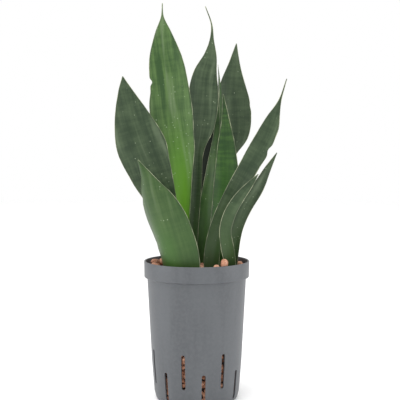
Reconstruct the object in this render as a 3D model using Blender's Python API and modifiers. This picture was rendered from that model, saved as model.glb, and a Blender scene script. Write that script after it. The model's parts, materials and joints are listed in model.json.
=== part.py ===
"""Snake plant growing in a culture pot of expanded-clay granules.

Metres, +Z up. The origin is the centre of the pot's flat base, and the plant faces -Y.
The pot is a turned shell with a stepped collar and two rings of slots. The clay fills it to
just under the collar's lip. A rhizome lies under the clay, each leaf stands on it, and loose
granules lie on top.
"""
import math

import bmesh
import bpy
import numpy as np
from mathutils import Matrix

MM = 0.001
GAP = 0.3 * MM                     # between two pieces that touch

# Pot
POT_HEIGHT = 192 * MM
COLLAR_RADIUS = 73 * MM
COLLAR_HEIGHT = 22 * MM
STEP_HEIGHT = 2.5 * MM
BODY_TOP_RADIUS = 68.6 * MM
BODY_MID_RADIUS = 62.6 * MM
BODY_MID_HEIGHT = 53 * MM
FOOT_RADIUS = 59.2 * MM
FOOT_HEIGHT = 11 * MM
BASE_RADIUS = 55.5 * MM
WALL = 2.2 * MM
FLOOR = 3.0 * MM
POT_STEPS = 56

# Slots: seven high and seven low, in turn
SLOT_PAIRS = 7
SLOT_WIDTH = 5.4 * MM
SLOT_BEVEL = 1.5 * MM
HIGH_SLOT = (24 * MM, 72 * MM)
LOW_SLOT = (4.5 * MM, 45 * MM)
FIRST_LOW_SLOT = 9.0               # degrees from the front, towards +X

# Clay
CLAY_LEVEL = 178 * MM
CLAY_MOUND = 8 * MM
HEAP_PLACE = (37 * MM, -49 * MM)      # granules are heaped against the leaves here
HEAP_HEIGHT = 8.5 * MM
HEAP_SPREAD = 13 * MM
CLAY_STEPS = 48
CLAY_RINGS = 9

# Rhizome and leaf seats
SEAT = 168 * MM                    # every leaf is cut level here
NECK_RADIUS = 10 * MM
NECK_DEPTH = 14 * MM

# Leaves
LEAF_ROWS = 15
LEAF_COLUMNS = 6
LEAF_CREASE = 2.0
MIDRIB_THICKNESS = 4.2 * MM
MARGIN_SHARE = 0.22                # margin thickness over midrib thickness
CLEARANCE = 0.6 * MM               # how far a leaf's slot in the clay stands off the leaf

# Each leaf from its root to its tip, one station a row, in millimetres and degrees:
# x, y, z, half width, facing (0 is towards the front, + towards +X), fold of each half
LEAVES = {
    "leaf_left": [
        (-25, -13, 160, 14, 8, 50), (-31, -13.5, 215, 14, 10, 42), (-48, -17, 275, 22, 12, 30),
        (-64, -18, 316, 31, 12, 22), (-77, -18, 352, 34, 12, 20), (-90, -18, 395, 23, 12, 20),
        (-97, -19, 426, 10, 12, 18), (-100, -19, 445, 0.6, 12, 10)],
    "leaf_tallest": [
        (-19, 0, 160, 13, 0, 50), (-21, 0, 245, 13, 0, 42), (-22, 1, 300, 18, -4, 34),
        (-27, 3, 345, 27, -6, 26), (-34, 5, 395, 31, -6, 22), (-38, 6, 440, 27, -6, 20),
        (-43, 6, 478, 22, -6, 20), (-46, 5, 508, 11, -3, 18), (-47, 4, 528, 2, 0, 10),
        (-47, 4, 546, 0.6, 0, 0)],
    "leaf_front": [
        (-31, -46, 160, 38, 140, 42), (-34, -48, 195, 40, 140, 42), (-41, -50, 222, 41, 140, 41),
        (-53, -54.5, 258, 38, 142, 40), (-62, -56, 288, 26, 144, 36), (-68, -58, 312, 10, 146, 30),
        (-77, -60, 333, 0.6, 148, 15)],
    "leaf_centre_curled_tip": [
        (-9, 12, 160, 11, 0, 50), (-6, 11, 235, 10.5, 0, 48), (-2, 12, 300, 11, 0, 46),
        (0, 14, 345, 12, 0, 40), (5, 16, 378, 20, 6, 28), (8, 17, 410, 23, 8, 22),
        (11, 18, 448, 18, 8, 22), (19, 18, 477, 9, 4, 24), (21, 17, 498, 3, 0, 20),
        (21, 16, 516, 1.3, 0, 10), (12, 14, 543, 0.6, 0, 0)],
    "leaf_centre_right": [
        (25, 0, 160, 14, 10, 50), (26, 2, 200, 14, 10, 45), (31, 5, 238, 16, 8, 40),
        (38, 9, 274, 19, 5, 34), (41, 13, 310, 18, 5, 30), (41, 18, 350, 13.5, 5, 28),
        (40, 22, 388, 6, 5, 24), (37, 24, 423, 0.6, 5, 15)],
    "leaf_edge_on": [
        (12, 20, 160, 14, -20, 50), (13, 22, 210, 15, -20, 45), (19, 27, 265, 16, -35, 38),
        (27, 31, 315, 16, -52, 32), (32, 34, 365, 14, -70, 30), (33, 36, 410, 9, -80, 26),
        (32, 37, 440, 4, -80, 22), (30, 37, 465, 0.6, -80, 10)],
    "leaf_back_right": [
        (26, 36, 160, 11, 10, 50), (30, 41, 215, 12, 10, 48), (37, 48, 285, 11, 10, 44),
        (45, 56, 338, 12, 8, 38), (51, 62, 366, 24, 8, 27), (52, 65, 396, 27, 8, 22),
        (51, 66, 436, 20, 8, 22), (54, 65, 470, 8, 5, 20), (57, 64, 497, 0.6, 0, 5)],
    "leaf_long_right": [
        (21, -27, 160, 12, -5, 50), (22, -29, 210, 13, -5, 45), (32, -31, 248, 13, -5, 40),
        (48, -33, 283, 13.5, -5, 35), (68, -34, 320, 14, -5, 30), (88, -34, 354, 14.5, -5, 26),
        (102, -32, 386, 9.5, -5, 24), (111.5, -31, 411, 2.4, -5, 18), (121, -29, 441, 0.6, -5, 0)],
    "leaf_small_wavy": [
        (44, -31, 160, 8, -8, 46), (46, -34, 190, 9, -8, 42), (42, -39, 215, 10, -8, 38),
        (39, -43, 238, 9, -8, 35), (44, -46, 259, 9, -8, 32), (56, -49, 281, 8, -8, 30),
        (70, -51, 299, 5, -8, 24), (82, -52, 314, 0.6, -8, 10)],
    "leaf_small_right": [
        (46, -12, 160, 9, 0, 42), (49, -15, 200, 9, 0, 38), (55, -19, 238, 9, 5, 35),
        (67, -25, 270, 10, 8, 32), (82, -28, 294, 9, 8, 30), (95, -31, 319, 5, 8, 22),
        (108, -33, 342, 0.6, 8, 10)],
    "leaf_inner_back": [
        (4, 40, 160, 11, 0, 46), (6, 44, 230, 12, 0, 40), (10, 48, 290, 13, 0, 34),
        (16, 51, 340, 13, 0, 30), (22, 52, 385, 10, 0, 28), (26, 52, 420, 5, 0, 22),
        (28, 52, 443, 0.6, 0, 10)],
}

# Loose granules on the clay: degrees from the front towards +X, distance out in mm, length in mm
GRANULES = [
    (37, 62, 13), (25.5, 62, 10), (-26, 64, 11), (-2, 62, 11), (12, 61, 10), (-64, 61, 13),
    (-84, 60, 11), (-104, 60, 14), (-120, 55, 12), (-157, 54, 13), (-170, 61, 12),
    (175, 60, 10), (160, 60, 13), (145, 62, 10), (130, 58, 13), (114, 60, 12), (98, 61, 11),
    (84, 63, 10), (68, 62, 10), (-46, 66, 8), (-14, 65, 8)]

POT_GREY = (0.122, 0.130, 0.140)
CLAY_ORANGE = (0.42, 0.20, 0.12)
STOCK_CREAM = (0.55, 0.42, 0.24)
LEAF_GREENS = {
    "leaf_tallest": (0.13, 0.29, 0.07),
    "leaf_front": (0.08, 0.16, 0.045),
    "leaf_centre_right": (0.05, 0.12, 0.03),
}
DARK_LEAF = (0.055, 0.085, 0.05)


def clear_scene():
    for item in list(bpy.data.objects):
        bpy.data.objects.remove(item, do_unlink=True)


def new_collection(name):
    collection = bpy.data.collections.new(name)
    bpy.context.scene.collection.children.link(collection)
    return collection


def finish(name, colour, roughness):
    """A Principled material with the piece's colour."""
    material = bpy.data.materials.new(name)
    material.use_nodes = True
    shader = material.node_tree.nodes["Principled BSDF"]
    shader.inputs["Base Color"].default_value = (*colour, 1.0)
    shader.inputs["Roughness"].default_value = roughness
    return material


def put(collection, name, mesh, material=None):
    """Link a mesh as a named object."""
    item = bpy.data.objects.new(name, mesh)
    collection.objects.link(item)
    if material:
        mesh.materials.append(material)
    return item


def hide_cutter(item):
    item.hide_render = True
    item.display_type = "WIRE"


def cut(item, cutter, operation="DIFFERENCE"):
    """A Boolean modifier with the EXACT solver."""
    boolean = item.modifiers.new("cut_" + cutter.name, "BOOLEAN")
    boolean.operation = operation
    boolean.object = cutter


def bake(item):
    """Replace an object's mesh by its evaluated one."""
    bpy.context.view_layer.update()
    evaluated = item.evaluated_get(bpy.context.evaluated_depsgraph_get())
    mesh = bpy.data.meshes.new_from_object(evaluated)
    item.modifiers.clear()
    item.data = mesh


def turned(collection, name, profile, steps, material):
    """A solid of revolution. The profile starts and ends on the axis."""
    mesh = bpy.data.meshes.new(name)
    points = [(radius, 0.0, height) for radius, height in profile]
    mesh.from_pydata(points, [(i, i + 1) for i in range(len(points) - 1)], [])
    item = put(collection, name, mesh, material)
    screw = item.modifiers.new("turn", "SCREW")
    screw.steps = steps
    screw.render_steps = steps
    screw.use_merge_vertices = True
    screw.merge_threshold = 0.01 * MM
    return item


def smooth(item):
    item.data.shade_smooth()
    item.data.set_sharp_from_angle(angle=math.radians(35))


# --- Pot ---------------------------------------------------------------------------------

def pot_outside():
    """Radius and height down the outside, from the lip to the base."""
    lip = 0.8 * MM
    return [
        (COLLAR_RADIUS - lip, POT_HEIGHT),
        (COLLAR_RADIUS, POT_HEIGHT - lip),
        (COLLAR_RADIUS - 0.3 * MM, POT_HEIGHT - COLLAR_HEIGHT),
        (BODY_TOP_RADIUS, POT_HEIGHT - COLLAR_HEIGHT - STEP_HEIGHT),
        (BODY_MID_RADIUS, BODY_MID_HEIGHT),
        (FOOT_RADIUS, FOOT_HEIGHT),
        (BASE_RADIUS + 1.5 * MM, 2.5 * MM),
        (BASE_RADIUS, 0.0)]


def pot_inside(offset=0.0):
    """Radius and height up the inside, from the floor to the lip; offset shrinks it."""
    inset = WALL + offset
    lift = FLOOR + offset
    return [
        (FOOT_RADIUS - inset - 2.5 * MM, lift),
        (FOOT_RADIUS - inset, FOOT_HEIGHT),
        (BODY_MID_RADIUS - inset, BODY_MID_HEIGHT),
        (BODY_TOP_RADIUS - inset, POT_HEIGHT - COLLAR_HEIGHT - STEP_HEIGHT + WALL + offset),
        (COLLAR_RADIUS - inset - 0.3 * MM, POT_HEIGHT - COLLAR_HEIGHT + WALL + offset),
        (COLLAR_RADIUS - inset, POT_HEIGHT)]


def slot_cutter(collection, name, angle, low, high):
    """A round-ended box across the wall at an angle from the front."""
    depth = 26 * MM
    bpy.ops.mesh.primitive_cube_add(size=1.0)
    item = bpy.context.object
    item.name = name
    item.data.transform(scaling((SLOT_WIDTH, depth, high - low)))
    bevel = item.modifiers.new("round", "BEVEL")
    bevel.width = SLOT_BEVEL
    bevel.segments = 2
    radius = FOOT_RADIUS + 3 * MM
    item.location = (radius * math.sin(angle), -radius * math.cos(angle), (low + high) / 2)
    item.rotation_euler = (0.0, 0.0, angle)
    for owner in list(item.users_collection):
        owner.objects.unlink(item)
    collection.objects.link(item)
    hide_cutter(item)
    return item


def scaling(scale):
    """A scale as a 4 by 4 matrix."""
    return Matrix.Diagonal((*scale, 1.0))


def make_pot(parts, cutters):
    profile = [(0.0, FLOOR)] + pot_inside() + pot_outside() + [(0.0, 0.0)]
    pot = turned(parts, "culture_pot", profile, POT_STEPS, finish("pot_grey", POT_GREY, 0.42))
    pitch = 2 * math.pi / (2 * SLOT_PAIRS)
    for index in range(2 * SLOT_PAIRS):
        angle = math.radians(FIRST_LOW_SLOT) + index * pitch
        low, high = LOW_SLOT if index % 2 == 0 else HIGH_SLOT
        cut(pot, slot_cutter(cutters, f"slot_{index + 1:02d}", angle, low, high))
    bake(pot)
    smooth(pot)
    return pot


# --- Leaves ------------------------------------------------------------------------------

def through(rows, share):
    """A smooth curve through the rows, read at shares of its length from 0 to 1."""
    rows = np.array(rows, float)
    steps = np.linalg.norm(np.diff(rows[:, :3], axis=0), axis=1)
    knots = np.concatenate([[0.0], np.cumsum(steps)]) / steps.sum()
    slopes = np.gradient(rows, knots, axis=0)
    first = np.clip(np.searchsorted(knots, share, side="right") - 1, 0, len(knots) - 2)
    span = (knots[first + 1] - knots[first])[:, None]
    t = (share[:, None] - knots[first][:, None]) / span
    return ((2 * t**3 - 3 * t**2 + 1) * rows[first] + (t**3 - 2 * t**2 + t) * span * slopes[first]
            + (3 * t**2 - 2 * t**3) * rows[first + 1] + (t**3 - t**2) * span * slopes[first + 1])


def leaf_points(stations, grow=0.0):
    """The leaf's middle surface, as rows by columns of points.

    A row lies across the leaf. Its two halves fold forward from the midrib, so that the row
    turns steadily from the midrib's direction to the fold angle near each margin.
    """
    rows = through(stations, np.linspace(0.0, 1.0, LEAF_ROWS))
    spine = rows[:, :3] * MM
    half = np.maximum(rows[:, 3], 0.6) * MM + grow
    facing = np.radians(rows[:, 4])
    fold = np.radians(rows[:, 5])
    along = np.gradient(spine, axis=0)
    along /= np.linalg.norm(along, axis=1)[:, None]
    front = np.stack([np.sin(facing), -np.cos(facing), 0 * facing], axis=1)
    normal = front - (front * along).sum(axis=1)[:, None] * along
    normal /= np.linalg.norm(normal, axis=1)[:, None]
    across = np.cross(along, normal)
    fine = np.linspace(0.0, 1.0, 61)
    turn = fold[:, None] * np.tanh(LEAF_CREASE * fine) / math.tanh(LEAF_CREASE)
    sideways = np.cumsum(np.cos(turn), axis=1) / len(fine)
    forward = np.cumsum(np.sin(turn), axis=1) / len(fine)
    places = np.linspace(-1.0, 1.0, LEAF_COLUMNS + 1)
    points = np.zeros((LEAF_ROWS, LEAF_COLUMNS + 1, 3))
    for column, place in enumerate(places):
        index = round(abs(place) * (len(fine) - 1))
        out = math.copysign(1.0, place) * sideways[:, index] * half
        up = forward[:, index] * half
        points[:, column] = spine + out[:, None] * across + up[:, None] * normal
    return points


def leaf_sheet(collection, name, stations, material=None, grow=0.0):
    """A grid bent into the leaf's middle surface, thick at the midrib and thin at the edges."""
    mesh = bpy.data.meshes.new(name)
    work = bmesh.new()
    bmesh.ops.create_grid(work, x_segments=LEAF_COLUMNS, y_segments=LEAF_ROWS - 1, size=1.0)
    points = leaf_points(stations, grow)
    shares = []
    for vertex in work.verts:
        column = round((vertex.co.x + 1) / 2 * LEAF_COLUMNS)
        row = round((vertex.co.y + 1) / 2 * (LEAF_ROWS - 1))
        inward = 1.0 - abs(vertex.co.x) ** 1.5
        taper = 1.0 - 0.8 * (row / (LEAF_ROWS - 1)) ** 2
        shares.append(inward * taper)
        vertex.co = points[row, column]
    work.to_mesh(mesh)
    work.free()
    item = put(collection, name, mesh, material)
    group = item.vertex_groups.new(name="thickness")
    for index, share in enumerate(shares):
        group.add([index], share, "REPLACE")
    solid = item.modifiers.new("thickness", "SOLIDIFY")
    solid.thickness = MIDRIB_THICKNESS + 2 * grow
    solid.offset = 0.0
    solid.vertex_group = "thickness"
    solid.thickness_vertex_group = (MARGIN_SHARE * MIDRIB_THICKNESS + 2 * grow) / solid.thickness
    return item


def box_cutter(collection, name, lowest, highest):
    """A box between two corners."""
    bpy.ops.mesh.primitive_cube_add(size=1.0)
    item = bpy.context.object
    item.name = name
    size = [high - low for low, high in zip(lowest, highest)]
    item.data.transform(scaling(size))
    item.location = [(low + high) / 2 for low, high in zip(lowest, highest)]
    for owner in list(item.users_collection):
        owner.objects.unlink(item)
    collection.objects.link(item)
    hide_cutter(item)
    return item


def make_leaves(parts, cutters):
    """The leaves, each cut level at the seat, and a larger copy of each to cut the clay."""
    wide = COLLAR_RADIUS
    below_seat = box_cutter(cutters, "below_seat", (-wide, -wide, 100 * MM), (wide, wide, SEAT))
    slots = []
    for name, stations in LEAVES.items():
        green = finish(name, LEAF_GREENS.get(name, DARK_LEAF), 0.38)
        leaf = leaf_sheet(parts, name, stations, green)
        cut(leaf, below_seat)
        bake(leaf)
        smooth(leaf)
        slot = leaf_sheet(cutters, name + "_slot", stations, grow=CLEARANCE)
        bake(slot)
        hide_cutter(slot)
        slots.append(slot)
    return slots


# --- Rhizome -----------------------------------------------------------------------------

def stock_mesh(name, swell=0.0):
    """Rounded necks under the leaves and the stem that joins them, as overlapping balls."""
    work = bmesh.new()
    feet = [np.array(stations[0][:2]) * MM for stations in LEAVES.values()]
    heart = np.array([8.0, -2.0]) * MM
    for foot in feet:
        for share in (0.0, 0.3, 0.6, 0.9):
            centre = heart + (foot - heart) * share
            ball = bmesh.ops.create_uvsphere(work, u_segments=12, v_segments=8, radius=1.0)
            radius = NECK_RADIUS + swell
            for vertex in ball["verts"]:
                vertex.co.x = vertex.co.x * radius + centre[0]
                vertex.co.y = vertex.co.y * radius + centre[1]
                vertex.co.z = vertex.co.z * (NECK_DEPTH + swell) + SEAT - 4 * MM
    mesh = bpy.data.meshes.new(name)
    work.to_mesh(mesh)
    work.free()
    return mesh


def make_rhizome(parts, cutters):
    """One knobbly stem, level on top where the leaves stand, and its larger copy."""
    wide = COLLAR_RADIUS
    above_seat = box_cutter(
        cutters, "above_seat", (-wide, -wide, SEAT - GAP), (wide, wide, POT_HEIGHT))
    rhizome = put(parts, "rhizome", stock_mesh("rhizome"), finish("rhizome", STOCK_CREAM, 0.6))
    bed_room = put(cutters, "rhizome_room", stock_mesh("rhizome_room", swell=2.5 * MM))
    for item in (rhizome, bed_room):
        remesh = item.modifiers.new("skin", "REMESH")
        remesh.mode = "VOXEL"
        remesh.voxel_size = 5 * MM
        cut(item, above_seat)
        bake(item)
    hide_cutter(bed_room)
    smooth(rhizome)
    return bed_room


# --- Clay --------------------------------------------------------------------------------

def clay_height(x, y):
    """Height of the clay's surface: level at the wall, mounded and uneven round the plant."""
    out = np.hypot(x, y) / COLLAR_RADIUS
    mound = CLAY_MOUND * np.clip(1.0 - out**2, 0.0, 1.0)
    lumps = np.sin(x / (9 * MM)) * np.cos(y / (8 * MM)) + 0.5 * np.sin((x + y) / (5 * MM))
    away = np.hypot(x - HEAP_PLACE[0], y - HEAP_PLACE[1]) / HEAP_SPREAD
    heap = HEAP_HEIGHT * np.exp(-away**2)
    return CLAY_LEVEL + mound + heap + 0.8 * MM * lumps * np.clip(1.4 - out, 0.0, 1.0)


def make_clay(parts, slots, room):
    """The granules as one body: the pot's inside less a gap, with an uneven top."""
    side = [point for point in pot_inside(GAP) if point[1] < CLAY_LEVEL]
    edge = side[-1][0]
    top = [(edge * (1 - ring / CLAY_RINGS), CLAY_LEVEL) for ring in range(CLAY_RINGS + 1)]
    profile = top[::-1] + side[::-1] + [(0.0, FLOOR + GAP)]
    clay = turned(parts, "clay_bed", profile, CLAY_STEPS, finish("clay_bed", CLAY_ORANGE, 0.9))
    bake(clay)
    for vertex in clay.data.vertices:
        if vertex.co.z > CLAY_LEVEL - MM:
            vertex.co.z = clay_height(vertex.co.x, vertex.co.y)
    for cutter in slots + [room]:
        cut(clay, cutter)
    bake(clay)
    smooth(clay)


def make_granules(parts):
    """Loose granules, each let down until it all but touches the clay."""
    for index, (angle, out, length) in enumerate(GRANULES):
        turn = math.radians(angle)
        centre = np.array([out * math.sin(turn), -out * math.cos(turn)]) * MM
        mesh = bpy.data.meshes.new("granule")
        work = bmesh.new()
        bmesh.ops.create_icosphere(work, subdivisions=2, radius=length * MM / 2)
        tilt = index * 2.4
        for vertex in work.verts:
            x, y, z = vertex.co
            y *= 0.84
            z *= 0.78
            vertex.co.x = centre[0] + x * math.cos(tilt) - y * math.sin(tilt)
            vertex.co.y = centre[1] + x * math.sin(tilt) + y * math.cos(tilt)
            vertex.co.z = z
        ground = [clay_height(v.co.x, v.co.y) - v.co.z for v in work.verts]
        for vertex in work.verts:
            vertex.co.z += max(ground) + GAP
        work.to_mesh(mesh)
        work.free()
        name = f"clay_granule_{index + 1:02d}"
        granule = put(parts, name, mesh, finish(name, CLAY_ORANGE, 0.85))
        smooth(granule)


def main():
    clear_scene()
    parts = new_collection("potted_snake_plant")
    cutters = new_collection("cutters")
    make_pot(parts, cutters)
    slots = make_leaves(parts, cutters)
    room = make_rhizome(parts, cutters)
    make_clay(parts, slots, room)
    make_granules(parts)


main()
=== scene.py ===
# %% [markdown]
# # A snake plant in a culture pot
#
# The plant is a natural thing held in a moulded one. The leaves and the pot are worked out with
# numpy as grids of points, and the clay is one small lumpy ball repeated many times. The packed
# model gives the places; this file gives the fine surfaces and their finishes.

# %% Load the frame
import json
import math

import bpy
import bmesh
import numpy as np
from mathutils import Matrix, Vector

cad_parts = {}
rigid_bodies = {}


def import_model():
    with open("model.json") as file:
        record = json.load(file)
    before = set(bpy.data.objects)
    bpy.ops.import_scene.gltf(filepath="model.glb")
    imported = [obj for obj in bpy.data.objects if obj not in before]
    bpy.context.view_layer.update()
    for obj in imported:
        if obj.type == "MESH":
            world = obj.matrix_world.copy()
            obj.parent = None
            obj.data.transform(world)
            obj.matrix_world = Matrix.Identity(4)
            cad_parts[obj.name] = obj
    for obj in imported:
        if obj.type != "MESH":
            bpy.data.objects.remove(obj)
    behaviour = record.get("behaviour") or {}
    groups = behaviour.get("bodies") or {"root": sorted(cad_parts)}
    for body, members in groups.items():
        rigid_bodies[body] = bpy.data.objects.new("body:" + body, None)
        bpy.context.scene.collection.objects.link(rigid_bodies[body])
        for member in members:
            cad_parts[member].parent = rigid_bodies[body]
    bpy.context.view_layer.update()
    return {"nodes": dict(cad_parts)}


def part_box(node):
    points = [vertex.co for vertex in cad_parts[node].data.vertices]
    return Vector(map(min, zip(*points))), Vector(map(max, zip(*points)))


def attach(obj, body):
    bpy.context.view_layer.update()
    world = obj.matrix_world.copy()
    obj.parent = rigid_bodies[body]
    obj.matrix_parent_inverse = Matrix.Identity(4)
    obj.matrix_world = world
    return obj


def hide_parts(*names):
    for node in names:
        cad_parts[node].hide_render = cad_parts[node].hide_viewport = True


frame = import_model()
MM = 0.001

# %% [markdown]
# ## The studio
#
# A plain white room: a pale floor, an even white world, and large soft lamps, which leave long
# soft highlights on waxy leaves and satin plastic. Small lamps would leave hard white dots.

# %% Floor, world and lamps
FLOOR_SIZE = 8.0
FLOOR_DROP = 0.0004                # just under the pot's foot, so that the two never flicker
FLOOR_WHITE = (0.97, 0.97, 0.97, 1.0)
FLOOR_ROUGHNESS = 0.9
WORLD_WHITE = (1.0, 1.0, 1.0, 1.0)
WORLD_STRENGTH = 1.0
LAMP_TARGET = (0.0, 0.0, 0.28)
LAMPS = {                          # place, side of the square lamp, power in watts
    "lamp_top": ((-0.3, -0.5, 1.9), 1.4, 22),
    "lamp_left": ((-1.6, -0.7, 0.7), 1.0, 9),
    "lamp_right": ((1.6, -0.5, 0.6), 1.0, 9),
}


def link(item):
    """Put an object into the scene."""
    bpy.context.scene.collection.objects.link(item)
    return item


def towards(place, target):
    """The turn that makes a lamp or a camera at a place look at a target."""
    return (Vector(target) - Vector(place)).to_track_quat("-Z", "Y").to_euler()


def plain_floor():
    """A square floor just under the pot."""
    mesh = bpy.data.meshes.new("floor")
    half = FLOOR_SIZE / 2
    corners = [(-half, -half, 0.0), (half, -half, 0.0), (half, half, 0.0), (-half, half, 0.0)]
    mesh.from_pydata(corners, [], [(0, 1, 2, 3)])
    item = link(bpy.data.objects.new("floor", mesh))
    item.location.z = -FLOOR_DROP
    material = bpy.data.materials.new("floor_white")
    material.use_nodes = True
    shader = material.node_tree.nodes["Principled BSDF"]
    shader.inputs["Base Color"].default_value = FLOOR_WHITE
    shader.inputs["Roughness"].default_value = FLOOR_ROUGHNESS
    mesh.materials.append(material)


def white_room():
    """An even white world, shown without a film-like curve."""
    world = bpy.data.worlds.new("white_room")
    world.use_nodes = True
    background = world.node_tree.nodes["Background"]
    background.inputs["Color"].default_value = WORLD_WHITE
    background.inputs["Strength"].default_value = WORLD_STRENGTH
    bpy.context.scene.world = world
    bpy.context.scene.view_settings.view_transform = "Standard"


plain_floor()
white_room()
for name, (place, size, power) in LAMPS.items():
    lamp = bpy.data.lights.new(name, "AREA")
    lamp.size = size
    lamp.energy = power
    item = link(bpy.data.objects.new(name, lamp))
    item.location = place
    item.rotation_euler = towards(place, LAMP_TARGET)
print("studio: floor and", len(LAMPS), "lamps")

# %% [markdown]
# ## The camera
#
# It stands a little above the pot's rim and looks slightly down, so the rim shows as a thin
# ellipse with clay inside it. A long lens from further off keeps upright edges nearly parallel.

# %% Camera
CAMERA_PLACE = (0.0046, -1.3, 0.364)
CAMERA_TARGET = (0.0046, 0.0, 0.276)
LENS = 84.7
SENSOR_WIDTH = 36.0

lens = bpy.data.cameras.new("camera")
lens.lens = LENS
lens.sensor_width = SENSOR_WIDTH
camera = link(bpy.data.objects.new("camera", lens))
camera.location = CAMERA_PLACE
camera.rotation_euler = towards(CAMERA_PLACE, CAMERA_TARGET)
bpy.context.scene.camera = camera
print("camera at", CAMERA_PLACE)

# %% [markdown]
# ## Shader maths as Python
#
# A node tree is a formula. The class below wraps a number socket, so that `1 - mask * 0.5` adds
# the Math nodes itself. Colours go through Mix nodes, because a Math node would turn them grey.

# %% Node helpers


class Value:
    """A number socket that can be used in Python expressions."""

    def __init__(self, tree, socket):
        self.tree = tree
        self.socket = socket

    def maths(self, operation, other=0.0, swap=False):
        first, second = (other, self) if swap else (self, other)
        return self.tree.node("ShaderNodeMath", {"operation": operation}, {0: first, 1: second})

    def __add__(self, other):
        return self.maths("ADD", other)

    __radd__ = __add__

    def __sub__(self, other):
        return self.maths("SUBTRACT", other)

    def __rsub__(self, other):
        return self.maths("SUBTRACT", other, swap=True)

    def __mul__(self, other):
        return self.maths("MULTIPLY", other)

    __rmul__ = __mul__

    def size(self):
        return self.maths("ABSOLUTE")


class Finish:
    """A material and the few ways this file adds nodes to it."""

    def __init__(self, name):
        self.material = bpy.data.materials.new(name)
        self.material.use_nodes = True
        self.nodes = self.material.node_tree.nodes
        self.links = self.material.node_tree.links
        self.shader = self.nodes["Principled BSDF"]

    def feed(self, socket, value):
        """Link a wrapped value or a socket, or set a constant."""
        if isinstance(value, Value):
            self.links.new(value.socket, socket)
        elif isinstance(value, bpy.types.NodeSocket):
            self.links.new(value, socket)
        elif isinstance(value, tuple) and len(value) == 3 and socket.type == "RGBA":
            socket.default_value = (*value, 1.0)
        else:
            socket.default_value = value

    def node(self, kind, settings=None, inputs=None, output=0):
        """Any node: its settings first, then its sockets by name or number."""
        node = self.nodes.new(kind)
        for key, value in (settings or {}).items():
            setattr(node, key, value)
        for key, value in (inputs or {}).items():
            self.feed(node.inputs[key], value)
        return Value(self, node.outputs[output])

    def mix(self, share, first, second):
        """The first colour where share is 0 and the second where it is 1."""
        inputs = {0: share, 6: first, 7: second}
        return self.node("ShaderNodeMix", {"data_type": "RGBA"}, inputs, output=2).socket

    def step(self, value, low, high):
        """0 below low, 1 above high, and a smooth rise between."""
        settings = {"interpolation_type": "SMOOTHSTEP"}
        return self.node("ShaderNodeMapRange", settings, {0: value, 1: low, 2: high})

    def attribute(self, name):
        """A number stored on the mesh's points."""
        return self.node("ShaderNodeAttribute", {"attribute_name": name}, output=2)

    def place(self):
        return self.node("ShaderNodeTexCoord", output=3).socket

    def stretch(self, vector, scale):
        return self.node("ShaderNodeMapping", {}, {0: vector, 3: scale}).socket

    def noise(self, vector, scale, detail=3.0, rough=0.5):
        inputs = {"Vector": vector, "Scale": scale, "Detail": detail, "Roughness": rough}
        return self.node("ShaderNodeTexNoise", {}, inputs)

    def surface(self, colour, roughness, bump, strength=0.3, depth=0.3 * MM):
        """Feed the shader its colour and roughness, and a bump of a depth in metres."""
        self.feed(self.shader.inputs["Base Color"], colour)
        self.feed(self.shader.inputs["Roughness"], roughness)
        inputs = {"Strength": strength, "Distance": depth, "Height": bump}
        normal = self.node("ShaderNodeBump", {}, inputs)
        self.feed(self.shader.inputs["Normal"], normal)
        return self.material


print("helpers ready")

# %% [markdown]
# ## Grids into meshes
#
# Every new surface here is a closed tube of rings: rings of points one after another, with a
# single point closing each end. The same faces then serve a leaf, a pot and a slot's cutter.

# %% Rings to mesh


def ring_mesh(name, rings):
    """Join rings of points, an array of rows by points by 3, into a closed mesh.

    A face joins two neighbours on one ring to the same two on the next. Each end is closed by
    triangles to one more point, at the mean of its ring.
    """
    rows, count = rings.shape[:2]
    index = np.arange(rows * count).reshape(rows, count)
    around = np.roll(index, -1, axis=1)
    quads = np.stack([index[:-1], around[:-1], around[1:], index[1:]], axis=-1).reshape(-1, 4)
    points = np.vstack([rings.reshape(-1, 3), rings[0].mean(axis=0), rings[-1].mean(axis=0)])
    pole = rows * count
    start = np.column_stack([np.full(count, pole), around[0], index[0]])
    end = np.column_stack([np.full(count, pole + 1), index[-1], around[-1]])
    mesh = bpy.data.meshes.new(name)
    mesh.from_pydata(points.tolist(), [], quads.tolist() + start.tolist() + end.tolist())
    mesh.shade_smooth()
    return mesh


def turned(profile, sides):
    """Rings from a profile: each radius and height carried round the upright axis."""
    angle = np.linspace(0.0, 2 * math.pi, sides, endpoint=False)
    height = np.broadcast_to(profile[:, 1:], (len(profile), sides))
    radius = profile[:, :1]
    return np.stack([radius * np.cos(angle), radius * np.sin(angle), height], axis=-1)


def put(name, mesh, material):
    """Link a finished mesh as a piece that rides on the plant's one body."""
    mesh.materials.append(material)
    item = link(bpy.data.objects.new(name, mesh))
    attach(item, "root")
    return item


print("ring meshes ready")

# %% [markdown]
# ## The pot's wall
#
# The real pot is injection moulded: an even wall turned about one axis, with a collar that
# steps out near the top. A Screw modifier could turn it too. A profile as an array keeps every
# height and radius in one list, and its corners are rounded by one short function.

# %% Pot wall
POT_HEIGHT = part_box("culture_pot")[1][2]
COLLAR_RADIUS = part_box("culture_pot")[1][0]
COLLAR_HEIGHT = 22 * MM
COLLAR_DRAFT = 0.3 * MM            # the collar leans out by this much over its height
BODY_TOP_RADIUS = 68.6 * MM
BODY_TOP_HEIGHT = 170 * MM
BODY_MID_RADIUS = 62.6 * MM
BODY_MID_HEIGHT = 53 * MM
FOOT_RADIUS = 59.2 * MM
FOOT_HEIGHT = 11 * MM
BASE_RADIUS = 55.5 * MM
AXIS_RADIUS = 2 * MM               # the flat base closes to a point from here
WALL = 2.2 * MM
POT_FLOOR = 3 * MM
POT_CORNER = 0.8 * MM
POT_SIDES = 256


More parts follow.
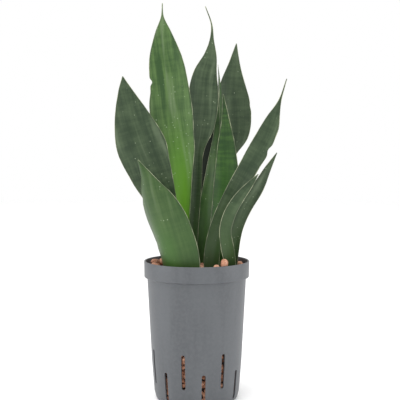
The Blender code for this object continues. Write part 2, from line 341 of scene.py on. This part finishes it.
def rounded(corners, radius, steps=5):
    """A profile with each inner corner replaced by a short curve.

    The curve is a quadratic one from a point before the corner to a point after it, each a
    radius away or half the side if that is shorter.
    """
    corners = [np.array(corner, float) for corner in corners]
    path = [corners[0]]
    for before, corner, after in zip(corners, corners[1:], corners[2:]):
        into, out = before - corner, after - corner
        reach = min(radius, np.linalg.norm(into) / 2, np.linalg.norm(out) / 2)
        start = corner + into / np.linalg.norm(into) * reach
        end = corner + out / np.linalg.norm(out) * reach
        for t in np.linspace(0.0, 1.0, steps):
            path.append((1 - t) ** 2 * start + 2 * t * (1 - t) * corner + t**2 * end)
    path.append(corners[-1])
    return np.array(path)


def pot_profile():
    """Radius and height from the axis under the base, up the outside, and down the inside."""
    step = POT_HEIGHT - COLLAR_HEIGHT
    outside = [
        (AXIS_RADIUS, 0.0), (BASE_RADIUS, 0.0), (BASE_RADIUS + 1.5 * MM, 2.5 * MM),
        (FOOT_RADIUS, FOOT_HEIGHT), (BODY_MID_RADIUS, BODY_MID_HEIGHT),
        (BODY_TOP_RADIUS, step - 1.5 * MM), (COLLAR_RADIUS - COLLAR_DRAFT, step),
        (COLLAR_RADIUS, POT_HEIGHT)]
    inside = [
        (COLLAR_RADIUS - WALL, POT_HEIGHT), (COLLAR_RADIUS - WALL - COLLAR_DRAFT, step + WALL),
        (BODY_TOP_RADIUS - WALL, step), (BODY_MID_RADIUS - WALL, BODY_MID_HEIGHT),
        (FOOT_RADIUS - WALL, FOOT_HEIGHT), (FOOT_RADIUS - WALL - 2.5 * MM, POT_FLOOR),
        (AXIS_RADIUS, POT_FLOOR)]
    return rounded(outside + inside, POT_CORNER)


profile = pot_profile()
pot = link(bpy.data.objects.new("pot", ring_mesh("pot", turned(profile, POT_SIDES))))
print("pot profile of", len(profile), "points")

# %% [markdown]
# ## The pot's slots
#
# The mould leaves narrow round-ended slots in the lower wall, by turns high and low, so that
# water reaches the clay. They could be left out of the grid of points, but their round ends
# don't follow it. One Boolean with a bar for each slot cuts them all with clean edges.

# %% Slots in the wall
SLOT_PAIRS = 7
SLOT_WIDTH = 5.2 * MM
SLOT_REACH = 26 * MM               # length of a cutter, through the wall and out on both sides
HIGH_SLOT = (24 * MM, 72 * MM)
LOW_SLOT = (4.5 * MM, 45 * MM)
FIRST_LOW_SLOT = math.radians(9.0)
SHARP_ANGLE = math.radians(40)
UP = np.array([0.0, 0.0, 1.0])


def slot_rings(angle, low, high):
    """A round-ended bar through the wall: two equal outlines, near and far."""
    arc = np.linspace(0.0, math.pi, 7)
    half = SLOT_WIDTH / 2
    top = np.stack([half * np.cos(arc), high - half + half * np.sin(arc)], axis=-1)
    foot = np.stack([-half * np.cos(arc), low + half - half * np.sin(arc)], axis=-1)
    outline = np.vstack([top, foot])
    out = np.array([math.sin(angle), -math.cos(angle), 0.0])
    side = np.array([math.cos(angle), math.sin(angle), 0.0])
    flat = outline[:, :1] * side + outline[:, 1:] * UP
    middle = FOOT_RADIUS + 2 * MM
    near, far = middle - SLOT_REACH / 2, middle + SLOT_REACH / 2
    return np.stack([flat + out * near, flat + out * far])


slots = bpy.data.collections.new("slot_cutters")
for number in range(2 * SLOT_PAIRS):
    angle = FIRST_LOW_SLOT + number * math.pi / SLOT_PAIRS
    low, high = LOW_SLOT if number % 2 == 0 else HIGH_SLOT
    mesh = ring_mesh(f"slot_{number}", slot_rings(angle, low, high))
    slots.objects.link(bpy.data.objects.new(f"slot_{number}", mesh))
bpy.context.scene.collection.children.link(slots)
boolean = pot.modifiers.new("slots", "BOOLEAN")
boolean.operand_type = "COLLECTION"
boolean.collection = slots
boolean.solver = "EXACT"
bpy.context.view_layer.update()
cut_mesh = bpy.data.meshes.new_from_object(
    pot.evaluated_get(bpy.context.evaluated_depsgraph_get()))
for cutter in list(slots.objects):
    bpy.data.objects.remove(cutter, do_unlink=True)
bpy.data.collections.remove(slots)
bpy.data.objects.remove(pot, do_unlink=True)
cut_mesh.materials.clear()
cut_mesh.set_sharp_from_angle(angle=SHARP_ANGLE)
print("pot with", 2 * SLOT_PAIRS, "slots:", len(cut_mesh.polygons), "faces")

# %% [markdown]
# ## The pot's finish
#
# Moulded plastic is nearly one grey. What makes it look real is slight: upright marks where the
# melt flowed, a fine mottling, and a gloss that changes a little with both.

# %% Pot finish
FLOW_GREYS = ((0.062, 0.067, 0.074), (0.080, 0.086, 0.094))
MOTTLE_GREY = (0.10, 0.105, 0.112)
FLOW_SCALE = 34.0
FLOW_STRETCH = (1.0, 1.0, 0.18)
MOTTLE_SCALE = 260.0


def pot_plastic():
    """Satin grey plastic with faint upright flow marks and fine mottling."""
    f = Finish("pot_plastic")
    place = f.place()
    marks = f.noise(f.stretch(place, FLOW_STRETCH), FLOW_SCALE)
    mottle = f.noise(place, MOTTLE_SCALE, 2.0)
    colour = f.mix(f.step(marks, 0.35, 0.68), *FLOW_GREYS)
    colour = f.mix(f.step(mottle, 0.3, 0.75) * 0.35, colour, MOTTLE_GREY)
    rough = 0.38 + 0.12 * marks + 0.05 * mottle
    return f.surface(colour, rough, bump=mottle, strength=0.12, depth=0.1 * MM)


pot_piece = put("pot", cut_mesh, pot_plastic())
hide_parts("culture_pot")
print("pot done")

# %% [markdown]
# ## The clay
#
# Fired clay granules are rough brown balls about a centimetre across. Hundreds show through the
# slots and on top. A particle system could scatter them, but one ball of 80 faces repeated as
# an array sum gives the same places every time: each copy is stretched, turned and moved by its
# own seeded numbers, and roughened by its own waves.

# %% Granule helpers
CLAY_LEVEL = 178 * MM
CLAY_MOUND = 8 * MM
HEAP_PLACE = (37 * MM, -49 * MM)   # the granules are heaped against the leaves here
HEAP_HEIGHT = 8.5 * MM
HEAP_SPREAD = 13 * MM
LUMP_DEPTH = 0.07                  # of a ball's radius
LUMP_WAVES = (2.0, 4.5)            # slowest and fastest wave, in radians per radius
LUMP_PHASE = 6.28                  # nearly a whole turn, in radians
BALL_STRETCH = (0.78, 1.08)


def clay_height(x, y):
    """Height of the clay's surface.

    It is level at the wall and rises in a parabola round the plant, with one small heap whose
    height falls as the exponential of minus the distance squared.
    """
    out = np.hypot(x, y) / COLLAR_RADIUS
    mound = CLAY_MOUND * np.clip(1.0 - out**2, 0.0, 1.0)
    away = np.hypot(x - HEAP_PLACE[0], y - HEAP_PLACE[1]) / HEAP_SPREAD
    return CLAY_LEVEL + mound + HEAP_HEIGHT * np.exp(-away**2)


def ball_points(levels):
    """Points and triangles of a ball made by splitting an icosahedron."""
    work = bmesh.new()
    bmesh.ops.create_icosphere(work, subdivisions=levels, radius=1.0)
    points = np.array([vertex.co[:] for vertex in work.verts])
    faces = np.array([[vertex.index for vertex in face.verts] for face in work.faces])
    work.free()
    return points, faces


def random_turns(random, count):
    """Random turns, as an array of 3 by 3 matrices from random unit quaternions."""
    q = random.normal(size=(count, 4))
    w, x, y, z = (q / np.linalg.norm(q, axis=1)[:, None]).T
    return np.stack([
        np.stack([1 - 2 * (y * y + z * z), 2 * (x * y - w * z), 2 * (x * z + w * y)], -1),
        np.stack([2 * (x * y + w * z), 1 - 2 * (x * x + z * z), 2 * (y * z - w * x)], -1),
        np.stack([2 * (x * z - w * y), 2 * (y * z + w * x), 1 - 2 * (x * x + y * y)], -1)], 1)


def granules(name, centres, radii, seed, levels=2):
    """Many lumpy balls in one mesh, one at each centre.

    A point's distance out is multiplied by one plus a small sum of three sine waves, then the
    ball is stretched along three axes, turned, scaled to its radius and moved.
    """
    random = np.random.default_rng(seed)
    ball, faces = ball_points(levels)
    count = len(centres)
    phase = random.uniform(0.0, LUMP_PHASE, (count, 1, 3))
    waves = np.sin(ball[None] * random.uniform(*LUMP_WAVES, (count, 1, 3)) + phase).sum(axis=2)
    lumpy = ball[None] * (1.0 + LUMP_DEPTH * waves[..., None])
    lumpy = lumpy * random.uniform(*BALL_STRETCH, (count, 1, 3))
    lumpy = np.einsum("nij,npj->npi", random_turns(random, count), lumpy)
    points = lumpy * radii[:, None, None] + centres[:, None, :]
    shift = np.arange(count)[:, None, None] * len(ball)
    faces = (faces[None] + shift).reshape(-1, 3)
    mesh = bpy.data.meshes.new(name)
    mesh.from_pydata(points.reshape(-1, 3).tolist(), [], faces.tolist())
    tone = mesh.attributes.new("tone", "FLOAT", "POINT")
    tone.data.foreach_set("value", np.repeat(random.uniform(0, 1, count), len(ball)))
    mesh.shade_smooth()
    return mesh


print("granule helpers ready")

# %% [markdown]
# ## The clay's finish
#
# Each granule left the kiln with its own tone, so the tone is stored on the ball's points and
# chooses between two browns. Paler dust lies over that, and fine noise digs pores into the bump
# and darkens them with painted shade. In the middle of the pot nothing is seen but shade.

# %% Clay finishes
BAKED_BROWNS = ((0.40, 0.17, 0.095), (0.58, 0.31, 0.20))
DUST_BROWN = (0.66, 0.42, 0.31)
# Painted shade: the brown below darkens the pores.
PORE_SHADE_BROWN = (0.16, 0.06, 0.035)
SHADOW_BROWNS = ((0.02, 0.011, 0.008), (0.05, 0.025, 0.017))
GRAIN_SCALE = 900.0
DUST_SCALE = 240.0
SHADOW_SCALE = 300.0


def fired_clay():
    """Rough orange-brown clay: paler dust, painted shade in the pores, its own tone on each ball.
    """
    f = Finish("fired_clay")
    place = f.place()
    grain = f.noise(place, GRAIN_SCALE, 4.0, 0.7)
    dust = f.noise(place, DUST_SCALE)
    colour = f.mix(f.attribute("tone"), *BAKED_BROWNS)
    colour = f.mix(f.step(dust, 0.52, 0.72) * 0.55, colour, DUST_BROWN)
    # Painted shade in the pores, the hollows of the bump.
    colour = f.mix(f.step(grain, 0.56, 0.40) * 0.6, colour, PORE_SHADE_BROWN)
    return f.surface(colour, 0.88, bump=grain, strength=0.7, depth=0.6 * MM)


def clay_shadow():
    """The deep brown between the granules."""
    f = Finish("clay_shadow")
    shade = f.noise(f.place(), SHADOW_SCALE)
    return f.surface(f.mix(shade, *SHADOW_BROWNS), 0.95, bump=shade)


clay_material = fired_clay()
print("clay finishes ready")

# %% [markdown]
# ## The heap
#
# Only the granules that can be seen are made: two layers over the top and a curtain of them
# just inside the slotted wall. A dark core fills the rest, so no light passes through the pot.

# %% Granules on top and behind the slots
HEAP_SEED = 11
LAYERS = ((3.5 * MM, 7.2 * MM), (8.5 * MM, 8.0 * MM))      # depth of centres, least gap
LAYER_TRIALS = 7800
LAYER_INSET = 8 * MM
CURTAIN_HEIGHTS = np.arange(8, 80, 6.4) * MM
CURTAIN_COUNT = 52
CURTAIN_INSET = 4.6 * MM
CURTAIN_DEPTH = 2.6 * MM
CURTAIN_TWIST = 0.06               # turn of each row on the one below, in radians
CURTAIN_SIDEWAYS = 0.03            # most that one ball strays round, in radians
CURTAIN_UPRIGHT = 1.5              # and up or down, in mm
BALL_RADII = (3.4, 4.7)            # in mm
CORE_PROFILE = np.array(
    [[1 * MM, 5 * MM], [50 * MM, 5 * MM], [60 * MM, 165 * MM], [1 * MM, 172 * MM]])
CORE_SIDES = 64
random = np.random.default_rng(HEAP_SEED)


def spread(trials, reach, gap):
    """Places in a disc, each at least a gap from the others, from seeded trials in turn."""
    kept = np.zeros((0, 2))
    for x, y in random.uniform(-reach, reach, (trials, 2)):
        far = np.hypot(kept[:, 0] - x, kept[:, 1] - y).min(initial=1.0) > gap
        if math.hypot(x, y) < reach and far:
            kept = np.vstack([kept, (x, y)])
    return kept


def heap():
    """Centres of two layers over the clay's surface and of the curtain inside the wall."""
    layers = []
    for sink, gap in LAYERS:
        flat = spread(LAYER_TRIALS, COLLAR_RADIUS - LAYER_INSET, gap)
        height = clay_height(flat[:, 0], flat[:, 1]) - sink
        layers.append(np.column_stack([flat, height]))
    for row, height in enumerate(CURTAIN_HEIGHTS):
        outside = np.interp(height, [FOOT_HEIGHT, BODY_MID_HEIGHT, BODY_TOP_HEIGHT],
                            [FOOT_RADIUS, BODY_MID_RADIUS, BODY_TOP_RADIUS])
        radius = outside - WALL - CURTAIN_INSET
        around = np.arange(CURTAIN_COUNT) / CURTAIN_COUNT * 2 * math.pi + row * CURTAIN_TWIST
        around = around + random.uniform(-CURTAIN_SIDEWAYS, CURTAIN_SIDEWAYS, CURTAIN_COUNT)
        radius = radius - random.uniform(0.0, CURTAIN_DEPTH, CURTAIN_COUNT)
        rise = random.uniform(-CURTAIN_UPRIGHT, CURTAIN_UPRIGHT, CURTAIN_COUNT) * MM
        layers.append(np.column_stack([
            radius * np.cos(around), radius * np.sin(around), height + rise]))
    return np.vstack(layers)


centres = heap()
radii = random.uniform(*BALL_RADII, len(centres)) * MM
heap_piece = put("clay_heap", granules("clay_heap", centres, radii, seed=5), clay_material)
core_mesh = ring_mesh("clay_core", turned(CORE_PROFILE, CORE_SIDES))
core_piece = put("clay_core", core_mesh, clay_shadow())
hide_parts("clay_bed")
print("clay heap of", len(centres), "granules")

# %% [markdown]
# ## The loose granules
#
# The largest granules lie free on the clay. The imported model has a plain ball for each, and its
# box gives the place and the size of a finer, lumpier one.

# %% Loose granules on top
LOOSE_SEED = 40

for node in sorted(name for name in frame["nodes"] if name.startswith("clay_granule")):
    low, high = np.array(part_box(node))
    centre = ((low + high) / 2)[None]
    radius = np.array([(high - low).max() / 2])
    mesh = granules(node + "_fine", centre, radius, int(node[-2:]) + LOOSE_SEED, levels=3)
    piece = put(node + "_fine", mesh, clay_material)
    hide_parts(node)
print("loose granules done")

# %% [markdown]
# ## The leaves
#
# A snake plant's leaf is a thick strap, folded along its midrib at the root and nearly flat
# higher up, with a thin pale margin and a hard point. It could be a bent plane with a Solidify
# modifier, but that gives square edges and an even thickness. Here each leaf is a list of
# stations from root to tip, and a smooth curve through them carries a rounded, edge-thinned
# section from end to end.

# %% Leaf stations
LEAVES = {                         # x, y, z and half width in mm; facing and fold in degrees
    "leaf_left": [
        (-25, -13, 160, 14, 8, 50), (-31, -13.5, 215, 14, 10, 42), (-48, -17, 275, 22, 12, 30),
        (-64, -18, 316, 31, 12, 22), (-77, -18, 352, 34, 12, 20), (-90, -18, 395, 23, 12, 20),
        (-97, -19, 426, 10, 12, 18), (-100, -19, 445, 0.6, 12, 10)],
    "leaf_tallest": [
        (-19, 0, 160, 13, 0, 50), (-21, 0, 245, 13, 0, 42), (-22, 1, 300, 18, -4, 34),
        (-27, 3, 345, 27, -6, 26), (-34, 5, 395, 31, -6, 22), (-38, 6, 440, 27, -6, 20),
        (-43, 6, 478, 22, -6, 20), (-46, 5, 508, 11, -3, 18), (-47, 4, 528, 2, 0, 10),
        (-47, 4, 546, 0.6, 0, 0)],
    "leaf_front": [
        (-31, -46, 160, 38, 140, 42), (-34, -48, 195, 40, 140, 42),
        (-41, -50, 222, 41, 140, 41), (-53, -54.5, 258, 38, 142, 40),
        (-62, -56, 288, 26, 144, 36), (-68, -58, 312, 10, 146, 30),
        (-77, -60, 333, 0.6, 148, 15)],
    "leaf_centre_curled_tip": [
        (-9, 12, 160, 11, 0, 50), (-6, 11, 235, 10.5, 0, 48), (-2, 12, 300, 11, 0, 46),
        (0, 14, 345, 12, 0, 40), (5, 16, 378, 20, 6, 28), (8, 17, 410, 23, 8, 22),
        (11, 18, 448, 18, 8, 22), (19, 18, 477, 9, 4, 24), (21, 17, 498, 3, 0, 20),
        (21, 16, 516, 1.3, 0, 10), (12, 14, 543, 0.6, 0, 0)],
    "leaf_centre_right": [
        (25, 0, 160, 14, 10, 50), (26, 2, 200, 14, 10, 45), (31, 5, 238, 16, 8, 40),
        (38, 9, 274, 19, 5, 34), (41, 13, 310, 18, 5, 30), (41, 18, 350, 13.5, 5, 28),
        (40, 22, 388, 6, 5, 24), (37, 24, 423, 0.6, 5, 15)],
    "leaf_edge_on": [
        (12, 20, 160, 14, -20, 50), (13, 22, 210, 15, -20, 45), (19, 27, 265, 16, -35, 38),
        (27, 31, 315, 16, -52, 32), (32, 34, 365, 14, -70, 30), (33, 36, 410, 9, -80, 26),
        (32, 37, 440, 4, -80, 22), (30, 37, 465, 0.6, -80, 10)],
    "leaf_back_right": [
        (26, 36, 160, 11, 10, 50), (30, 41, 215, 12, 10, 48), (37, 48, 285, 11, 10, 44),
        (45, 56, 338, 12, 8, 38), (51, 62, 366, 24, 8, 27), (52, 65, 396, 27, 8, 22),
        (51, 66, 436, 20, 8, 22), (54, 65, 470, 8, 5, 20), (57, 64, 497, 0.6, 0, 5)],
    "leaf_long_right": [
        (21, -27, 160, 12, -5, 50), (22, -29, 210, 13, -5, 45), (32, -31, 248, 13, -5, 40),
        (48, -33, 283, 13.5, -5, 35), (68, -34, 320, 14, -5, 30), (88, -34, 354, 14.5, -5, 26),
        (102, -32, 386, 9.5, -5, 24), (111.5, -31, 411, 2.4, -5, 18),
        (121, -29, 441, 0.6, -5, 0)],
    "leaf_small_wavy": [
        (44, -31, 160, 8, -8, 46), (46, -34, 190, 9, -8, 42), (42, -39, 215, 10, -8, 38),
        (39, -43, 238, 9, -8, 35), (44, -46, 259, 9, -8, 32), (56, -49, 281, 8, -8, 30),
        (70, -51, 299, 5, -8, 24), (82, -52, 314, 0.6, -8, 10)],
    "leaf_small_right": [
        (46, -12, 160, 9, 0, 42), (49, -15, 200, 9, 0, 38), (55, -19, 238, 9, 5, 35),
        (67, -25, 270, 10, 8, 32), (82, -28, 294, 9, 8, 30), (95, -31, 319, 5, 8, 22),
        (108, -33, 342, 0.6, 8, 10)],
    "leaf_inner_back": [
        (4, 40, 160, 11, 0, 46), (6, 44, 230, 12, 0, 40), (10, 48, 290, 13, 0, 34),
        (16, 51, 340, 13, 0, 30), (22, 52, 385, 10, 0, 28), (26, 52, 420, 5, 0, 22),
        (28, 52, 443, 0.6, 0, 10)],
}
NICKS = {                          # side, mm from the root, depth and width in mm
    "leaf_tallest": [(-1, 282, 3.6, 4), (-1, 268, 1.2, 9), (1, 205, 1.0, 12)],
    "leaf_long_right": [(1, 206, 3.2, 5), (1, 236, -1.6, 12), (1, 170, -1.2, 10)],
    "leaf_front": [(1, 60, 1.6, 4), (1, 128, 1.4, 5)],
    "leaf_left": [(-1, 96, 1.5, 5), (1, 190, -1.0, 14)],
    "leaf_back_right": [(-1, 236, 1.0, 8), (1, 250, 1.0, 5)],
}
print(len(LEAVES), "leaves,", sum(len(nicks) for nicks in NICKS.values()), "nicks and bulges")

# %% [markdown]
# ## The blade's surface
#
# One parameter runs from root to tip and the other goes round the section. Everything that
# varies along a leaf is a column of the stations, so one smooth curve reads them all at once:
# the spine, the half width, the facing and the fold.

# %% Leaf surface
LEAF_ROWS = 140
LEAF_AROUND = 64
ROW_SPACING = 0.92                 # under 1, it opens the rows at the root
LEAF_CREASE = 2.0
FOLD_STEPS = 200
MIDRIB_HALF = 2.1 * MM
MARGIN_HALF = 0.45 * MM
LEAST_HALF_WIDTH = 0.35
FULL_DEPTH_WIDTH = 6 * MM          # where the half width falls below this, the leaf thins too
LEAST_TAPER = 0.12
WAVE_LENGTHS = np.array([31, 17, 9]) * MM
WAVE_SIZES = np.array([0.010, 0.008, 0.005])
RIPPLE_LENGTH = 14 * MM
RIPPLE_HEIGHT = 0.25 * MM


def through(rows, share):
    """A smooth curve through the rows, read at shares of its length.

    Between two rows it is the cubic that meets both with the mean slope of their neighbours.
    """
    rows = np.array(rows, float)
    steps = np.linalg.norm(np.diff(rows[:, :3], axis=0), axis=1)
    knots = np.concatenate([[0.0], np.cumsum(steps)]) / steps.sum()
    slopes = np.gradient(rows, knots, axis=0)
    first = np.clip(np.searchsorted(knots, share, side="right") - 1, 0, len(knots) - 2)
    span = (knots[first + 1] - knots[first])[:, None]
    t = (share[:, None] - knots[first][:, None]) / span
    return ((2 * t**3 - 3 * t**2 + 1) * rows[first]
            + (t**3 - 2 * t**2 + t) * span * slopes[first]
            + (3 * t**2 - 2 * t**3) * rows[first + 1]
            + (t**3 - t**2) * span * slopes[first + 1])


def leaf_rings(name, stations, seed):
    """Rings round a leaf, and for each point its place across, along and in from the margin.

    Going round a ring, the place across is minus the cosine of the angle, and the thickness is
    its sine times a depth that falls from the midrib to the margin, so both edges are round.
    The row turns from the midrib's direction towards the fold angle as the hyperbolic tangent
    of the distance out. Slow sine waves move the margin a little and lift the blade.
    """
    random = np.random.default_rng(seed)
    rows = through(stations, np.linspace(0.0, 1.0, LEAF_ROWS) ** ROW_SPACING)
    spine = rows[:, :3] * MM
    length = np.concatenate([[0.0], np.cumsum(np.linalg.norm(np.diff(spine, axis=0), axis=1))])
    wave = np.sin(length[:, None] / WAVE_LENGTHS + random.uniform(0, 6, 3))
    half = np.maximum(rows[:, 3], LEAST_HALF_WIDTH) * MM * (1 + wave @ WAVE_SIZES)
    facing = np.radians(rows[:, 4])
    fold = np.radians(rows[:, 5])

    along = np.gradient(spine, axis=0)
    along /= np.linalg.norm(along, axis=1)[:, None]
    front = np.stack([np.sin(facing), -np.cos(facing), 0 * facing], axis=1)
    normal = front - (front * along).sum(axis=1)[:, None] * along
    normal /= np.linalg.norm(normal, axis=1)[:, None]
    across = np.cross(along, normal)

    fine = np.linspace(0.0, 1.0, FOLD_STEPS + 1)
    bend = fold[:, None] * np.tanh(LEAF_CREASE * fine) / math.tanh(LEAF_CREASE)
    sideways = np.cumsum(np.cos(bend), axis=1) / len(fine)
    forward = np.cumsum(np.sin(bend), axis=1) / len(fine)
    angle = np.linspace(0.0, 2 * math.pi, LEAF_AROUND, endpoint=False)
    place = -np.cos(angle)
    index = np.round(np.abs(place) * FOLD_STEPS).astype(int)
    out = np.sign(place) * sideways[:, index] * half[:, None]
    for side, from_root, deep, wide in NICKS.get(name, []):
        near = np.exp(-((length - from_root * MM) / (wide * MM)) ** 2)[:, None]
        at_margin = np.clip(side * place, 0.0, 1.0) ** 6
        out = out - side * deep * MM * near * at_margin

    up = forward[:, index] * half[:, None]
    tilt = np.sign(place) * bend[:, index]
    taper = np.clip(half / FULL_DEPTH_WIDTH, LEAST_TAPER, 1.0)[:, None]
    depth = (MARGIN_HALF + (MIDRIB_HALF - MARGIN_HALF) * (1 - np.abs(place) ** 1.5)) * taper
    lift = depth * np.sin(angle)
    ripple = np.sin(length[:, None] / RIPPLE_LENGTH + 3.0 * place + random.uniform(0, 6))
    up = up + RIPPLE_HEIGHT * ripple * np.abs(place) * taper
    rings = (spine[:, None] + (out - lift * np.sin(tilt))[..., None] * across[:, None]
             + (up + lift * np.cos(tilt))[..., None] * normal[:, None])
    shares = np.stack([
        np.broadcast_to(place, out.shape) * half[:, None],
        np.broadcast_to(length[:, None], out.shape),
        half[:, None] * (1 - np.abs(place))], axis=-1)
    return rings, shares, length[-1]


def leaf_mesh(name, stations, seed):
    """A leaf's rings as a mesh, with the places on the blade kept as attributes in metres."""
    rings, shares, length = leaf_rings(name, stations, seed)
    mesh = ring_mesh(name + "_fine", rings)
    flat = np.vstack([shares.reshape(-1, 3), shares[0].mean(axis=0), shares[-1].mean(axis=0)])
    flat = flat.astype(np.float32)
    for column, label in enumerate(("blade_across", "blade_along", "blade_edge")):
        values = mesh.attributes.new(label, "FLOAT", "POINT")
        values.data.foreach_set("value", np.ascontiguousarray(flat[:, column]))
    return mesh, length


print("leaf surface ready")

# %% [markdown]
# ## The leaf's skin
#
# The skin is waxy and dark. Fine lighter lines run from root to tip, faint darker bands cross
# the blade, and small pale scars dot it. The margin is a thread of cream. All of these follow
# the blade, so the patterns read the attributes that were stored with the mesh.
# Painted light is laid on too: a sheen on broad streaks, a glow low on the blade's middle, and
# shade at the root.

# %% Leaf finish
LINE_SCALE, LINE_STRETCH = 260.0, (1.0, 0.05, 1.0)
BROAD_SCALE, BROAD_STRETCH = 75.0, (1.0, 0.10, 1.0)
BAND_SCALE, BAND_STRETCH = 150.0, (0.16, 1.0, 1.0)
CLOUD_SCALE = 38.0
SCAR_SCALE = 170.0
WORN_SCALE = 60.0
# Painted highlight: the green below is the sheen.
SHEEN_HIGHLIGHT_GREEN = (0.145, 0.185, 0.115)
# Painted shade: the green below darkens the root.
ROOT_SHADE_GREEN = (0.012, 0.030, 0.006)
SCAR_GREEN = (0.42, 0.50, 0.34)
MARGIN_DARK = (0.020, 0.035, 0.014)
MARGIN_CREAM = (0.40, 0.42, 0.27)
WAX_SPECULAR = 0.36


def leaf_skin(name, dark, light, glow, glow_span, stripe_and_sheen=0.5, band=0.5, seed=0.0):
    """Waxy skin from two greens, with a painted glow low on the blade's middle.

    The stripe number scales the lines along and the painted sheen, and band the bands across.
    glow_span is where the painted glow starts to fade and where it ends, in mm from the root.
    """
    f = Finish(name)
    across, along, edge = map(f.attribute, ("blade_across", "blade_along", "blade_edge"))
    blade = f.node("ShaderNodeCombineXYZ", {}, {0: across, 1: along, 2: seed}).socket

    lines = f.noise(f.stretch(blade, LINE_STRETCH), LINE_SCALE, 3.0, 0.55)
    broad = f.noise(f.stretch(blade, BROAD_STRETCH), BROAD_SCALE, 2.0)
    bands = f.noise(f.stretch(blade, BAND_STRETCH), BAND_SCALE, 3.0, 0.6)
    cloud = f.noise(blade, CLOUD_SCALE)
    tone = 0.5 + (lines - 0.5) * stripe_and_sheen + (broad - 0.5) * 1.5 * stripe_and_sheen + (bands - 0.5) * band
    tone = tone + (cloud - 0.5) * 0.5
    colour = f.mix(f.step(tone, 0.25, 0.8), dark, light)
    # Painted sheen: a pale highlight green on broad streaks, 60 to 160 mm up the blade.
    sheen = f.step(broad, 0.56, 0.74) * f.step(along, 60 * MM, 160 * MM)
    colour = f.mix(sheen * stripe_and_sheen * 0.75, colour, SHEEN_HIGHLIGHT_GREEN)

    # Painted glow: a brighter green low on the blade, strongest across its middle.
    near = 1.0 - f.step(along, glow_span[0] * MM, glow_span[1] * MM)
    middle = 1.0 - f.step(across.size(), 4 * MM, 22 * MM)
    colour = f.mix(near * (0.25 + 0.75 * middle) * 0.9, colour, glow)
    # Painted shade: the blade darkens towards the root, down among the other leaves and the clay.
    root = 1.0 - f.step(along, 5 * MM, 70 * MM)
    colour = f.mix(root * 0.45, colour, ROOT_SHADE_GREEN)

    inputs = {"Vector": blade, "Scale": SCAR_SCALE}
    spots = f.node("ShaderNodeTexVoronoi", {"feature": "F1"}, inputs)
    scar = (1.0 - f.step(spots, 0.05, 0.16)) * f.step(cloud, 0.50, 0.58)
    colour = f.mix(scar * 0.5, colour, SCAR_GREEN)
    worn = f.step(f.noise(blade, WORN_SCALE, 2.0), 0.40, 0.62)
    margin = (1.0 - f.step(edge, 0.3 * MM, 0.75 * MM)) * (0.25 + 0.75 * worn)
    dark_line = (1.0 - f.step(edge, 0.9 * MM, 2.6 * MM)) * (1.0 - margin)
    colour = f.mix(dark_line * 0.45, colour, MARGIN_DARK)
    colour = f.mix(margin * 0.75, colour, MARGIN_CREAM)

    f.shader.inputs["Specular IOR Level"].default_value = WAX_SPECULAR
    rough = 0.36 + 0.16 * cloud + 0.08 * bands
    return f.surface(colour, rough, bump=lines + bands * 0.6, strength=0.22, depth=0.35 * MM)


print("leaf skin ready")

# %% [markdown]
# ## A skin for each leaf
#
# Most of the leaves are a grey green. Those deeper in the plant are purer and darker, the
# tallest has a bright yellow-green painted glow low on its blade, and the innermost stands in
# shade, painted as near-black greens.

# %% Leaves in place
GREY_GREEN = dict(dark=(0.014, 0.032, 0.011), light=(0.050, 0.080, 0.036),
                  glow=(0.035, 0.075, 0.018), glow_span=(30, 160))
DEEP_GREEN = dict(dark=(0.008, 0.036, 0.004), light=(0.040, 0.100, 0.014))
SKINS = {                          # what differs from the grey green
    "leaf_tallest": dict(
        dark=(0.018, 0.055, 0.009), light=(0.066, 0.128, 0.032),
        glow=(0.120, 0.310, 0.018), glow_span=(110, 250), stripe_and_sheen=0.9, band=0.4),
    "leaf_front": dict(
        dark=(0.020, 0.055, 0.010), light=(0.052, 0.098, 0.026),
        glow=(0.040, 0.115, 0.012), glow_span=(20, 120), stripe_and_sheen=0.4, band=0.3),
    "leaf_centre_right": dict(
        **DEEP_GREEN, glow=(0.022, 0.085, 0.006), glow_span=(60, 240), band=1.0),
    "leaf_edge_on": dict(
        **DEEP_GREEN, glow=(0.035, 0.095, 0.014), glow_span=(40, 200)),
    "leaf_inner_back": dict(
        dark=(0.003, 0.007, 0.002), light=(0.010, 0.018, 0.007), glow=(0.01, 0.02, 0.006)),
}
FIRST_LEAF_SEED = 3
PATTERN_STEP = 0.7                 # moves each leaf's pattern on from the last one's

for number, (name, stations) in enumerate(LEAVES.items()):
    mesh, length = leaf_mesh(name, stations, number + FIRST_LEAF_SEED)
    look = {**GREY_GREEN, **SKINS.get(name, {})}
    skin = leaf_skin(name + "_skin", seed=number * PATTERN_STEP, **look)
    piece = put(name + "_fine", mesh, skin)
    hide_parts(name)
    print(name, "is", round(length / MM), "mm along")
